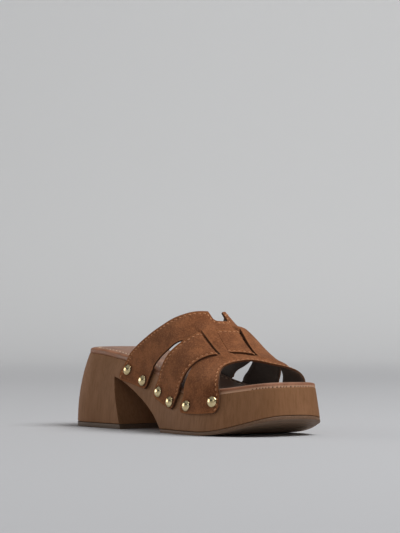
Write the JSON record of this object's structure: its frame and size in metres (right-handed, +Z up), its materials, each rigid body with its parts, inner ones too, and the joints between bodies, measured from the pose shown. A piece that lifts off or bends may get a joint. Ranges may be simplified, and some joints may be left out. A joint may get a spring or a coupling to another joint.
{
  "type": "heeled slide sandal",
  "caption": "Heeled slide sandal with a wood-look platform and block heel, and an open-toed upper of woven suede straps nailed along both sides.",
  "frame": {"origin": "on the floor, under the middle of the whole shoe's outline", "axes": "+X from heel to toe, +Z up, -Y to the lateral (outer) side"},
  "size_m": [0.2614, 0.097, 0.0976],
  "materials": {
    "wood": "stained mid brown with fine upright streaks, satin",
    "heel_rubber": "dark brown, matt",
    "tread_rubber": "brown, matt",
    "insole_leather": "tan leather wrapped over the edge, soft sheen",
    "suede": "brown suede with a short nap, near-black lining",
    "stud_brass": "polished pale brass"
  },
  "bodies": {
    "root": {"platform_sole": "wood", "heel_top_lift": "heel_rubber", "forepart_outsole": "tread_rubber", "insole": "insole_leather", "upper": "suede", "stud_lateral_1": "stud_brass", "stud_lateral_2": "stud_brass", "stud_lateral_3": "stud_brass", "stud_lateral_4": "stud_brass", "stud_lateral_5": "stud_brass", "stud_lateral_6": "stud_brass", "stud_medial_1": "stud_brass", "stud_medial_2": "stud_brass", "stud_medial_3": "stud_brass", "stud_medial_4": "stud_brass", "stud_medial_5": "stud_brass", "stud_medial_6": "stud_brass"}
  },
  "joints": []
}
